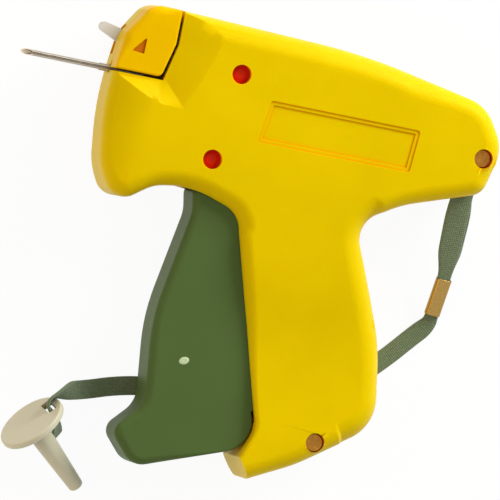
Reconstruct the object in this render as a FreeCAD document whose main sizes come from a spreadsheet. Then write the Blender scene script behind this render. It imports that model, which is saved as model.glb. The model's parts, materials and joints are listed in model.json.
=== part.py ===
import FreeCAD, Part
import math
import os

V = FreeCAD.Vector
doc = FreeCAD.newDocument("garment_tag_attacher")

# Driving sizes in millimetres and degrees. Drawing frame: X runs back from the needle,
# Y up from the foot of the grip, Z out of the left side, with Z = 0 on the parting plane.
SIZES = {
    # housing
    "half_width": 15,
    "wall": 2.4,
    "edge_round": 5.6,
    "top_round": 7.5,
    "toe_round": 1.5,
    "small_round": 0.7,
    "nose_front_x": -60.2,
    "nose_front_half": 8.6,
    "nose_taper_length": 16.7,
    "nose_split_x": -44,
    "slope_split_x": -23,
    "nose_cavity": 8,
    "waist_depth": 2.2,
    "waist_centre": -35,
    "waist_length": 76,
    "step_inset": 4.1,
    "step_height": 2.6,
    "label_depth": 0.8,
    "label_border": 1.3,
    "label_step": 0.4,
    "mark_depth": 0.9,
    "rib": 2,
    # screws
    "recess_radius": 3.25,
    "recess_depth": 5.5,
    "rear_recess_depth": 4.8,
    "boss_radius": 3.6,
    "boss_neck": 8,
    "screw_radius": 1.3,
    "head_radius": 2.8,
    "head_height": 1.8,
    "screw_length": 15.5,
    "plug_height": 1.2,
    # needle line
    "needle_y": 50,
    "needle_radius": 1,
    "needle_root_radius": 1.25,
    "needle_root_x": -62.5,
    "needle_bore": 0.74,
    "needle_tip_x": -89.2,
    "needle_back_x": -47,
    "needle_slot": 0.7,
    "bevel_length": 4.5,
    "rod_radius": 0.55,
    "rod_front_x": -36.2,
    "tag_channel": 1.6,
    "tag_gap": 1,
    # feed
    "wheel_radius": 5,
    "wheel_root": 3.7,
    "wheel_width": 4,
    "wheel_y": 57,
    "wheel_z": 6.4,
    "axle_radius": 1,
    "pawl_pin_radius": 0.8,
    # trigger train
    "trigger_pivot_y": -57.5,
    "trigger_corner": 10.3,
    "trigger_half": 10,
    "trigger_wall": 2,
    "trigger_round": 2.8,
    "trigger_pin_radius": 2,
    "lug_half": 6,
    "lever_x": 18,
    "lever_y": 18.3,
    "lever_swing": 35,
    "low_arm": 14.8,
    "high_arm": 39.4,
    "lever_half": 2.5,
    "lever_pin_radius": 2,
    "cross_pin_radius": 2,
    "low_slack": 0.85,
    "high_slack": 0.9,
    "carriage_half": 6.2,
    "carriage_gap": 3.2,
    "spring_y": -12,
    "spring_radius": 4,
    "spring_wire": 1.1,
    "spring_turns": 7,
    # front
    "cover_face": 10.8,
    "cover_inner": 1.4,
    "cover_wall": 2.2,
    "cover_round": 3,
    "cover_pin_radius": 1.5,
    "lock_pin_radius": 1.25,
    # strap and cap
    "strap_width": 6.6,
    "strap_thick": 1.2,
    "anchor_radius": 1.2,
    "ferrule_width": 5.4,
    "ferrule_thick": 3,
    "cap_radius": 11.75,
    "cap_thick": 2.2,
    "cap_length": 28,
    "cap_root_radius": 4,
    "cap_tip_radius": 2.5,
    "cap_wall": 1,
    # fits
    "gap": 0.3,
    "fit": 0.05,
    "bay_gap": 0.4,
}

sheet = doc.addObject("Spreadsheet::Sheet", "sizes")
for row, (alias, number) in enumerate(SIZES.items(), start=1):
    sheet.set("A%d" % row, alias)
    sheet.set("B%d" % row, str(number))
    sheet.setAlias("B%d" % row, alias)
doc.recompute()


def size(alias):
    return float(sheet.get(alias))


half = size("half_width")
wall = size("wall")
gap = size("gap")
fit = size("fit")
needle_y = size("needle_y")
FAR = 130
TOUCH = 1e-4


# ---- outlines: corners are (x, y, corner radius), joined by lines and tangent arcs ----


def corner_about(centre, radius, first, second):
    """Corner of a bend of that radius about centre, between the lines from two points that touch it."""
    lines = []
    for point, side in ((first, -1), (second, 1)):
        start = V(*point[:2], 0)
        away = centre.sub(start)
        turn = math.asin(min(radius / away.Length, 1)) * side
        slope = math.atan2(away.y, away.x) + turn
        lines.append((start, V(math.cos(slope), math.sin(slope), 0)))
    (start, along), (other, across) = lines
    reach = other.sub(start).cross(across).z / along.cross(across).z
    corner = start.add(along * reach)
    return (corner.x, corner.y, radius)


def rounded(corners):
    joints = []
    for i, (x, y, radius) in enumerate(corners):
        here = V(x, y, 0)
        back = V(*corners[i - 1][:2], 0).sub(here).normalize()
        ahead = V(*corners[(i + 1) % len(corners)][:2], 0).sub(here).normalize()
        if radius == 0:
            joints.append((here, None, here))
            continue
        half_angle = back.getAngle(ahead) / 2
        reach = radius / math.tan(half_angle)
        middle = back.add(ahead).normalize()
        centre = here.add(middle * (radius / math.sin(half_angle)))
        joints.append((here.add(back * reach), centre.sub(middle * radius), here.add(ahead * reach)))
    edges = []
    end = None
    for i, (start, crown, finish) in enumerate(joints):
        if end and end.distanceToPoint(start) < TOUCH:
            start = end
        end = finish
        if crown:
            edges.append(Part.Arc(start, crown, end))
        following = joints[(i + 1) % len(joints)][0]
        if end.distanceToPoint(following) > TOUCH:
            edges.append(Part.LineSegment(end, following))
    return edges


def inset(corners, depth):
    """The same corners moved inward by depth, for corners listed clockwise."""
    moved = []
    for i, (x, y, radius) in enumerate(corners):
        here = V(x, y, 0)
        back = here.sub(V(*corners[i - 1][:2], 0)).normalize()
        ahead = V(*corners[(i + 1) % len(corners)][:2], 0).sub(here).normalize()
        turn = back.cross(ahead).z
        inward = V(back.y, -back.x, 0).add(V(ahead.y, -ahead.x, 0))
        corner = here.add(inward * (depth / (1 + back.dot(ahead))))
        bend = radius + depth if turn > 0 else max(radius - depth, 0)
        moved.append((corner.x, corner.y, bend if radius else 0))
    return moved


def box(x0, x1, y0, y1, radius=0):
    return [(x0, y0, radius), (x0, y1, radius), (x1, y1, radius), (x1, y0, radius)]


def circle(x, y, radius):
    return [Part.Circle(V(x, y, 0), V(0, 0, 1), radius)]


def hull(start, start_radius, end, end_radius):
    """Outline of two circles joined by the lines that touch both."""
    along = end.sub(start)
    lean = math.asin((start_radius - end_radius) / along.Length)
    along.normalize()
    side = V(-along.y, along.x, 0)
    left = along * math.sin(lean) + side * math.cos(lean)
    right = along * math.sin(lean) - side * math.cos(lean)
    corners = [start + left * start_radius, start + right * start_radius]
    corners += [end + right * end_radius, end + left * end_radius]
    return [
        Part.Arc(corners[0], start - along * start_radius, corners[1]),
        Part.LineSegment(corners[1], corners[2]),
        Part.Arc(corners[2], end + along * end_radius, corners[3]),
        Part.LineSegment(corners[3], corners[0]),
    ]


def face_of(outline):
    return Part.Face(Part.Wire(Part.__sortEdges__([edge.toShape() for edge in outline])))


def clipped(outline, clip):
    """The part of one outline that lies inside another, as lines and arcs again."""
    edges = face_of(outline).common(face_of(clip)).Faces[0].OuterWire.OrderedEdges
    drawn = []
    for edge in edges:
        ends = [vertex.Point for vertex in edge.Vertexes]
        if edge.Curve.TypeId == "Part::GeomLine":
            drawn.append(Part.LineSegment(ends[0], ends[-1]))
        else:
            drawn.append(Part.Arc(ends[0], middle_of(edge), ends[-1]))
    return drawn


def middle_of(edge):
    return edge.valueAt((edge.FirstParameter + edge.LastParameter) / 2)


# ---- features ----


def new_body(label, base=None):
    body = doc.addObject("PartDesign::Body", label)
    body.Label = label
    if base:
        body.BaseFeature = base
        doc.recompute()
    return body


def sketch(body, outlines, level, role):
    drawing = body.newObject("Sketcher::SketchObject", "Outline")
    plane = next(item for item in body.Origin.OriginFeatures if item.Role == role)
    drawing.AttachmentSupport = [(plane, "")]
    drawing.MapMode = "FlatFace"
    drawing.setExpression("AttachmentOffset.Base.z", level)
    drawing.addGeometry([edge for outline in outlines for edge in outline], False)
    return drawing


def settle(body, feature):
    doc.recompute()
    if "Invalid" in feature.State or "Error" in feature.State or feature.Shape.isNull():
        raise RuntimeError("%s of %s failed" % (feature.Name, body.Label))


def pad(body, outlines, level, length, role="XY_Plane"):
    feature = body.newObject("PartDesign::Pad", "Pad")
    feature.Profile = sketch(body, outlines, level, role)
    feature.setExpression("Length", length)
    settle(body, feature)


def cut(body, outlines, level, depth, role="XY_Plane"):
    """Remove the outlines from level up to level + depth, and check that something went."""
    before = body.Shape.Volume
    feature = body.newObject("PartDesign::Pocket", "Pocket")
    feature.Profile = sketch(body, outlines, level, role)
    feature.Reversed = True
    feature.setExpression("Length", depth)
    settle(body, feature)
    if body.Shape.Volume >= before - 1e-3:
        raise RuntimeError("a pocket of %s cut nothing" % body.Label)


def varied_fillet(label, source, wanted, radius_at):
    """Round the wanted edges, each end of an edge by what radius_at gives for that place."""
    rounds = []
    for number, edge in enumerate(source.Shape.Edges, start=1):
        if wanted(edge):
            ends = [edge.valueAt(edge.FirstParameter), edge.valueAt(edge.LastParameter)]
            rounds.append((number, radius_at(ends[0]), radius_at(ends[1])))
    feature = doc.addObject("Part::Fillet", label)
    feature.Base = source
    feature.Edges = rounds
    settle(feature, feature)
    return feature


def part_feature(label, shape):
    feature = doc.addObject("Part::Feature", label)
    feature.Label = label
    feature.Shape = shape
    return feature


# ---- housing ----

NOSE_X = size("nose_front_x")
TOE_INNER = (7.4, -68.2)
TOE_OUTER = (11.9, -74.9)
LIP_TOP = (-30.4, 16.2)
LIP_BEND = (-8.9, 11.2)

pivot = V(0, size("trigger_pivot_y"), 0)
bay_corner = corner_about(pivot, size("trigger_corner") + size("bay_gap"), TOE_INNER, LIP_BEND)

HOUSING = [
    (-57.4, 62.4, 7),
    (-49.8, 73.8, 7),
    (24, 71.2, 200),
    (67.5, 62.6, 14),
    (75.6, 49.5, 13),
    (71.7, 33.4, 6.5),
    (45, 24.3, 40),
    (31.8, 15.4, 9),
    (48, -22.5, 70),
    (52.4, -49.6, 15),
    (27, -67.3, 60),
    TOE_OUTER + (0,),
    TOE_INNER + (0,),
    bay_corner,
    LIP_BEND + (9,),
    (-22, 15.6, 30),
    LIP_TOP + (20,),
    (-38.5, 14.8, 14),
    (-50.3, 5.9, 6.6),
    (-57.4, 18, 22),
    (NOSE_X, 40, 90),
]

SCREWS = [V(-17.5, 56.5, 0), V(-21.6, 27, 0), V(68.9, 45, 0), V(31.6, -58.7, 0)]
DEEP = SCREWS[:2]
SHALLOW = SCREWS[2:]
lever_pivot = V(size("lever_x"), size("lever_y"), 0)
cover_pin = V(-49.2, 69.2, 0)
lock_pin = V(-50.5, 59.3, 0)
COVER_CORNER = (-43.2, 50.45)
COVER_SIDE = (-40.3, 62)
COMB_END = -35.6
RAIL_Y = needle_y - 4 - gap
GUIDE_Y = size("lever_y") + size("high_arm") + 4.5 + gap
STOP_X = 50.2

# places across the gun are (Y, Z)
WHEEL = (size("wheel_y"), -size("wheel_z"))
PAWL = (63.1, -10.6)
PAWL_TIP = (61.5, -7)
TEETH = 12
FEED_X = -42.5
GUIDE_FRONT = -35.4

swing = math.radians(size("lever_swing"))
LEVER_LINE = V(math.sin(swing), math.cos(swing), 0)
LOW_PIN = lever_pivot - LEVER_LINE * size("low_arm")
HIGH_PIN = lever_pivot + LEVER_LINE * size("high_arm")
FORK_LEAN = 8.9
WEB_X = 6.5
SEAT_X = 38.4

ANCHOR_X = 67.4
ANCHOR_Y = 38
ANCHOR_END = 72.1
FERRULE = [V(69, 3.2, -7.9), V(68.1, -9.3, -11.6)]
LOOP = [
    FERRULE[1],
    V(67.85, -12.74, -12.62),
    V(63.2, -18, -13.6),
    V(56.5, -26, -14.15),
    V(47.5, -35, -14.2),
    V(35, -42.2, -14.2),
    V(21, -46.6, -14.2),
    V(6, -49, -14.2),
    V(-9.5, -50.2, -14.2),
    V(-25, -51.6, -14.1),
    V(-34.5, -53.6, -13),
    V(-43, -56.2, -9.6),
    V(-48.74, -57.39, -5.78),
]
LOOP_END = [
    V(-47.59, -57.16, -6.55),
    V(-52.56, -58.19, -3.24),
    V(-57.62, -63.1, -2.45),
    V(-52.3, -67.7, -4.8),
    V(-50.4, -73, -7.9),
]
CAP_CENTRE = V(-59.5, -71.3, -3.8)
CAP_AXIS = V(0.714, -0.626, -0.312)
CAP_SIDE = V(0.659, 0.752, 0)


def nose_taper():
    """Section of the nose, seen along Y: what the front curve takes away."""
    run = size("nose_taper_length")
    drop = half - size("nose_front_half")
    bend = (run * run + drop * drop) / (2 * drop)
    start = V(NOSE_X + run, half, 0)
    centre = V(start.x, half - bend, 0)
    turn = math.asin((run + 1) / bend)
    end = centre.add(V(-math.sin(turn), math.cos(turn), 0) * bend)
    crown = centre.add(V(-math.sin(turn / 2), math.cos(turn / 2), 0) * bend)
    high = half + 2
    return [
        Part.Arc(start, crown, end),
        Part.LineSegment(end, V(end.x, high, 0)),
        Part.LineSegment(V(end.x, high, 0), V(start.x, high, 0)),
        Part.LineSegment(V(start.x, high, 0), start),
    ]


def waist():
    """Section of the grip, seen along X: a shallow hollow whose arcs start and end level."""
    quarter = size("waist_length") / 4
    drop = size("waist_depth") / 2
    bend = (quarter * quarter + drop * drop) / (2 * drop)
    turn = math.asin(quarter / bend) / 2
    side, sag = bend * math.sin(turn), bend * (1 - math.cos(turn))
    centre = size("waist_centre")
    low = centre - 2 * quarter
    top = centre + 2 * quarter
    high = half + 2
    return [
        Part.Arc(V(low, half, 0), V(low + side, half - sag, 0), V(low + quarter, half - drop, 0)),
        Part.Arc(
            V(low + quarter, half - drop, 0), V(centre, half - 2 * drop, 0), V(top - quarter, half - drop, 0)
        ),
        Part.Arc(V(top - quarter, half - drop, 0), V(top - side, half - sag, 0), V(top, half, 0)),
        Part.LineSegment(V(top, half, 0), V(top, high, 0)),
        Part.LineSegment(V(top, high, 0), V(low, high, 0)),
        Part.LineSegment(V(low, high, 0), V(low, half, 0)),
    ]


def rim_radius(point):
    """Edge rounding: widest along the back of the gun, smallest at the toe."""
    edge, top, toe = size("edge_round"), size("top_round"), size("toe_round")
    in_bay = -36 < point.x < 12.9 and TOE_INNER[1] - 0.1 < point.y < 17
    if in_bay:
        share = min(max((point.y + 50) / 55, 0), 1)
        return toe + (edge - toe) * share
    on_top = point.y > 60 and point.x > -40
    on_grip = -60 < point.y < 10 and point.x > 20
    return top if on_top or on_grip else edge


def blank_half(name):
    block = new_body(name + "_block")
    pad(block, [rounded(HOUSING)], "0", "sizes.half_width")
    cut(block, [nose_taper()], str(-FAR), str(2 * FAR), "XZ_Plane")
    cut(block, [waist()], str(-FAR), str(2 * FAR), "YZ_Plane")
    rim = face_of(rounded(HOUSING)).OuterWire

    def on_rim(edge):
        point = middle_of(edge)
        at_toe = point.x < TOE_OUTER[0] and point.y < TOE_INNER[1]
        raised = min(vertex.Z for vertex in edge.Vertexes) > size("nose_front_half") / 2
        below = Part.Vertex(point.x, point.y, 0)
        return raised and not at_toe and rim.distToShape(below)[0] < 1e-3

    return varied_fillet(name + "_rounded", block, on_rim, rim_radius)


def mouth():
    """Opening of the cavity into the trigger bay, wide enough for the trigger to swing in."""
    lip = inset(HOUSING, wall + size("step_inset") + 0.5)[13:17]
    front, floor = -28.6, pivot.y + 1.5
    outline = [(front, 4, 0), (front, lip[2][1], 0), lip[2], lip[1], lip[0][:2] + (0,), (-6, lip[0][1], 0)]
    return clipped(rounded(outline), rounded(box(-FAR, FAR, floor, FAR)))


def zone(x0, x1, y0, y1, depth):
    """The part of the housing's outline, moved in by depth, that lies in a rectangle."""
    return clipped(rounded(inset(HOUSING, depth)), rounded(box(x0, x1, y0, y1)))


def hollow(body):
    """The cavities: a shallow one in the nose, then the barrel and the grip, each with a narrower floor."""
    narrow = wall + size("step_inset")
    slope = size("slope_split_x")
    barrel_low = 12
    full = "sizes.half_width - sizes.wall"
    deep = full + " - sizes.waist_depth"
    cut(body, [zone(-FAR, slope + 0.1, -FAR, FAR, wall)], "0", "sizes.nose_cavity")
    cut(body, [zone(slope, FAR, barrel_low, FAR, wall)], "0", full + " - sizes.step_height")
    cut(body, [zone(slope, FAR, barrel_low, FAR, narrow)], "0", full)
    cut(body, [zone(slope, FAR, -FAR, barrel_low + 0.1, wall)], "0", deep + " - sizes.step_height")
    cut(body, [zone(slope, FAR, pivot.y - 5, barrel_low + 0.1, narrow)], "0", deep)
    cut(body, [mouth()], "0", deep)


def common_inside(body):
    """What both halves carry inside: bosses, rails, ribs, the spring's seat and the trigger's lug."""
    full = "sizes.half_width - sizes.wall"
    foot = SCREWS[3]
    seat = rounded([(SEAT_X, -17.5, 0), (SEAT_X, -6.5, 0), (40, -6.5, 0), (44.5, -17.5, 0)])
    columns = [circle(point.x, point.y, size("boss_radius")) for point in SCREWS[:3]]
    pad(body, columns + [rounded(box(58.8, 61, 32, 43))], "0", full)
    pad(body, [circle(foot.x, foot.y, size("boss_radius")), seat], "0", full + " - sizes.waist_depth")
    rail = box(-19, 49.9, RAIL_Y - size("rib"), RAIL_Y)
    guide = box(-12, 46, GUIDE_Y, GUIDE_Y + size("rib"))
    stop = box(STOP_X, STOP_X + size("rib"), RAIL_Y - 6, 60)
    post = circle(lever_pivot.x, lever_pivot.y, size("lever_pin_radius") + 2)
    ribs = [rounded(rail), rounded(guide), rounded(stop), post]
    pad(body, ribs, "sizes.carriage_gap", full + " - sizes.carriage_gap")
    lug_end = V(pivot.x + size("trigger_corner") + 2, pivot.y, 0)
    lug = hull(pivot, size("trigger_pin_radius") * 2, lug_end, size("trigger_pin_radius") * 2)
    pad(body, [lug], "0", "sizes.lug_half")
    cut(body, [circle(lever_pivot.x, lever_pivot.y, size("lever_pin_radius"))], "0", "sizes.trigger_half")
    cut(body, [circle(pivot.x, pivot.y, size("trigger_pin_radius"))], "0", "sizes.lug_half")
    side = size("strap_width") / 2 + 0.5
    exit_slot = rounded(box(ANCHOR_X - side, ANCHOR_X + side, 26, ANCHOR_Y + 3.5))
    cut(body, [exit_slot], "0", "2 * sizes.strap_thick + sizes.anchor_radius")
    cut(body, [circle(ANCHOR_Y, 0, size("anchor_radius"))], "58", str(ANCHOR_END - 58), "YZ_Plane")
    cut(body, [circle(needle_y, 0, size("needle_root_radius") + gap)], "-62", "7", "YZ_Plane")


def loft_cut(body, low, low_level, high, high_level):
    """Remove a pyramid-like block between two outlines at two levels."""
    before = body.Shape.Volume
    feature = body.newObject("PartDesign::SubtractiveLoft", "Loft")
    feature.Profile = sketch(body, [rounded(low)], low_level, "XY_Plane")
    feature.Sections = [(sketch(body, [rounded(high)], high_level, "XY_Plane"), [""])]
    feature.Ruled = True
    settle(body, feature)
    if body.Shape.Volume >= before - 1e-3:
        raise RuntimeError("a loft of %s cut nothing" % body.Label)


def left_housing(base):
    """The upper half in use: screw recesses, label recess, sloped nose recess and the cover's bay."""
    body = new_body("left_housing", base)
    collars = [circle(point.x, point.y, size("boss_radius") + 1.4) for point in DEEP + SHALLOW[:1]]
    pad(body, collars, "sizes.boss_neck", "sizes.half_width - sizes.wall - sizes.boss_neck")
    floor = [(-62, 48.6, 0), (-43.5, 48.6, 0), (-41.8, 50.2, 0), (-39.4, 62, 0), (-38.8, 76, 0), (-62, 76, 0)]
    brim = [(-62, 46.8, 0), (-42, 41.3, 0), (-33.8, 41, 0), (-26.7, 60, 0), (-22, 76, 0), (-62, 76, 0)]
    loft_cut(body, floor, "sizes.cover_face - 0.2", brim, "sizes.half_width + 0.2")
    side = COVER_SIDE[0] + size("tag_gap")
    low = COVER_CORNER[1] - size("tag_gap")
    bay = [(-70, low, 0), (-42.2, low, 0), (side, COVER_SIDE[1], 0), (side, 80, 0), (-70, 80, 0)]
    cut(body, [rounded(bay)], "0", "sizes.half_width")
    comb = box(side - 0.1, COMB_END, 62, 80)
    cut(body, [rounded(comb)], "0", "sizes.tag_channel")
    label = [(-5.8, 50, 1), (45.9, 50, 1), (44.8, 35.7, 1), (-7.9, 35.7, 1)]
    cut(body, [rounded(label)], "sizes.half_width - sizes.label_step", "sizes.label_step")
    panel = inset(label, size("label_border"))
    cut(body, [rounded(panel)], "sizes.half_width - sizes.label_depth", "sizes.label_depth")
    holes = [circle(point.x, point.y, size("recess_radius")) for point in DEEP]
    cut(body, holes, "sizes.half_width - sizes.recess_depth", "sizes.recess_depth")
    holes = [circle(point.x, point.y, size("recess_radius")) for point in SHALLOW]
    cut(body, holes, "sizes.half_width - sizes.rear_recess_depth", "sizes.rear_recess_depth")
    shanks = [circle(point.x, point.y, size("screw_radius") + fit) for point in SCREWS]
    cut(body, shanks, "0", "sizes.half_width - sizes.rear_recess_depth")
    return body


def right_housing(base):
    """The half that lies on the table: deeper in the nose, with the pilots, pin bosses and lock slot."""
    body = new_body("right_housing", base)
    front, slope = size("nose_split_x"), size("slope_split_x")
    narrow = wall + size("step_inset")
    deep = "sizes.half_width - sizes.wall"
    cut(body, [zone(front, slope + 0.1, -FAR, FAR, wall)], "sizes.wall + sizes.step_height - sizes.half_width", deep)
    cut(body, [zone(front, slope + 0.1, -FAR, FAR, narrow)], "sizes.wall - sizes.half_width", deep)
    column = circle(SCREWS[1].x, SCREWS[1].y, size("boss_radius"))
    pad(body, [column], "sizes.wall - sizes.half_width", deep)
    pad(body, [circle(cover_pin.x, cover_pin.y, 3.2)], "-sizes.nose_cavity", "sizes.nose_cavity - sizes.gap")
    pad(body, [circle(lock_pin.x, lock_pin.y, 2.4)], "-sizes.nose_cavity", "1.3")
    pins = [circle(cover_pin.x, cover_pin.y, size("cover_pin_radius"))]
    pins.append(circle(lock_pin.x, lock_pin.y, size("lock_pin_radius")))
    cut(body, pins, "-9.5", "9.5")
    cut(body, [rounded(box(-64, -54, 55, 65.4))], "-6.8", "3.7")
    cut(body, [rounded(box(-46.5, COMB_END, 62, 80))], "-sizes.tag_channel", "sizes.tag_channel")
    pilots = [circle(point.x, point.y, size("screw_radius") + 0.02) for point in SCREWS]
    cut(body, pilots, "-7.5", "7.5")
    return body


# ---- front ----


def needle_cover():
    """The nose block that swings up to free the needle."""
    block = new_body("cover_block")
    clip = [(-70, COVER_CORNER[1], 0), (-70, 80, 0), (COVER_SIDE[0], 80, 0), COVER_SIDE + (0,), COVER_CORNER + (2,)]
    outline = clipped(rounded(HOUSING), rounded(clip))
    pad(block, [outline], "sizes.gap", "sizes.cover_face - sizes.gap")
    wire = face_of(outline).OuterWire
    rim = face_of(rounded(HOUSING)).OuterWire

    def on_top(edge):
        point = middle_of(edge)
        raised = min(vertex.Z for vertex in edge.Vertexes) > size("nose_front_half") / 2
        return raised and wire.distToShape(Part.Vertex(point.x, point.y, 0))[0] < 1e-3

    def radius(point):
        free = point.x < COVER_SIDE[0] - 1 and point.y > COVER_CORNER[1] + 1
        outer = rim.distToShape(Part.Vertex(point.x, point.y, 0))[0] < 1e-3
        return size("cover_round") if free and outer else size("small_round")

    body = new_body("needle_cover", varied_fillet("cover_rounded", block, on_top, radius))
    inner = clipped(rounded(inset(HOUSING, wall)), rounded(inset_clip(clip, size("cover_wall"))))
    cut(body, [inner], "0", "sizes.cover_face - sizes.cover_wall")
    cut(body, [rounded(box(-70, -38, 49, COVER_CORNER[1] + 2.3))], "0", "sizes.cover_inner")
    pad(body, [circle(cover_pin.x, cover_pin.y, 3.2)], "sizes.gap", "sizes.cover_face - sizes.cover_wall - sizes.gap")
    cut(body, [circle(cover_pin.x, cover_pin.y, size("cover_pin_radius") + fit)], "0", "9.5")
    mark = [(-54.6, 57.2, 0.3), (-50.3, 62.4, 0.3), (-50.4, 56.8, 0.3)]
    cut(body, [rounded(mark)], "sizes.cover_face - sizes.mark_depth", "sizes.mark_depth")
    return body


def inset_clip(clip, depth):
    """The cover's two inner sides moved in by depth; the outer ones are the housing's own."""
    x, y = clip[2][0] - depth, clip[0][1] + depth
    side_x, side_y = clip[3][0] - depth, clip[3][1]
    corner_x = clip[4][0] - depth
    return [(-70, y, 0), (-70, 80, 0), (x, 80, 0), (side_x, side_y, 0), (corner_x, y, 0)]


def needle_tube():
    body = new_body("needle_tube")
    bore = circle(needle_y, 0, size("needle_bore"))
    ring = [circle(needle_y, 0, size("needle_radius")), bore]
    pad(body, ring, "sizes.needle_tip_x", "sizes.needle_root_x - sizes.needle_tip_x", "YZ_Plane")
    ring = [circle(needle_y, 0, size("needle_root_radius")), bore]
    pad(body, ring, "sizes.needle_root_x", "sizes.needle_back_x - sizes.needle_root_x", "YZ_Plane")
    tip, back = size("needle_tip_x"), size("needle_back_x")
    side = size("needle_slot") / 2
    cut(body, [rounded(box(tip - 1, back + 1, needle_y - side, needle_y + side))], "0", "2 * sizes.needle_radius")
    reach = size("bevel_length")
    bevel = [(tip - 1, -1.4, 0), (tip - 1, 3, 0), (tip + reach * 1.3, 3, 0), (tip + reach, 1, 0), (tip, -1, 0)]
    cut(body, [rounded(bevel)], str(-FAR), str(2 * FAR), "XZ_Plane")
    return body


def needle_base():
    body = new_body("needle_base")
    pad(body, [rounded(box(-55.6, -47.2, 46, 55))], "-sizes.nose_cavity", "sizes.nose_cavity")
    cut(body, [circle(needle_y, 0, size("needle_root_radius"))], "-58", "12", "YZ_Plane")
    return body


def cutter_blade():
    body = new_body("cutter_blade")
    pad(body, [rounded(box(-47.2, -46.7, 51.3, 57))], "-6", "6")
    return body


def needle_lock():
    """Lever that clamps the needle's base, with its rounded tip outside the nose."""
    body = new_body("needle_lock")
    tip = V(-62.5, 63.4, 0)
    pad(body, [hull(lock_pin, 3, tip, 1.6)], "-6.4", "3")
    cut(body, [circle(lock_pin.x, lock_pin.y, size("lock_pin_radius") + fit)], "-6.4", "3")
    return body


def rod_guide():
    """Block behind the needle that guides the rod and holds the feed wheel's axle and the pawl's pin."""
    body = new_body("rod_guide")
    pad(body, [rounded(box(GUIDE_FRONT, -29, RAIL_Y, 66))], "sizes.wall - sizes.half_width", "15.1")
    cut(body, [circle(needle_y, 0, size("rod_radius") + fit)], str(GUIDE_FRONT), "7", "YZ_Plane")
    sockets = [circle(WHEEL[0], WHEEL[1], size("axle_radius")), circle(PAWL[0], PAWL[1], size("pawl_pin_radius"))]
    cut(body, sockets, str(GUIDE_FRONT), "4.4", "YZ_Plane")
    return body


def feed_wheel():
    """Saw-toothed wheel that steps the fasteners' comb down."""
    body = new_body("feed_wheel")
    points = []
    for tooth in range(TEETH):
        for reach, angle in ((size("wheel_radius"), tooth), (size("wheel_root"), tooth + 1)):
            turn = math.radians(360 / TEETH * angle)
            points.append((WHEEL[0] + reach * math.cos(turn), WHEEL[1] + reach * math.sin(turn), 0))
    bore = circle(WHEEL[0], WHEEL[1], size("axle_radius") + fit)
    pad(body, [rounded(points), bore], str(FEED_X), "sizes.wheel_width", "YZ_Plane")
    return body


def feed_pawl():
    body = new_body("feed_pawl")
    hub, tip = V(*PAWL, 0), V(*PAWL_TIP, 0)
    pad(body, [hull(hub, 1.3, tip, 0.3)], str(FEED_X), "sizes.wheel_width", "YZ_Plane")
    cut(body, [circle(PAWL[0], PAWL[1], size("pawl_pin_radius") + fit)], str(FEED_X), "sizes.wheel_width", "YZ_Plane")
    return body


def coil(label, radius, wire, length, turns, place):
    """A coil spring along its own Z, put where place says."""
    path = Part.makeHelix((length - wire) / turns, length - wire, radius)
    section = Part.Wire(Part.makeCircle(wire / 2, V(radius, 0, 0), V(0, 1, 0)))
    feature = part_feature(label, Part.Wire(path).makePipeShell([section], True, True))
    feature.Placement = place.multiply(FreeCAD.Placement(V(0, 0, wire / 2), FreeCAD.Rotation()))
    return feature


# ---- trigger and its train ----


def about_pivot(reach, across):
    """A point of the trigger's fork: reach from the pivot along the fork, across to its rear."""
    lean = math.radians(FORK_LEAN)
    along, side = V(math.sin(lean), math.cos(lean), 0), V(math.cos(lean), -math.sin(lean), 0)
    point = pivot.add(along * reach).add(side * across)
    return (point.x, point.y)


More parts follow.
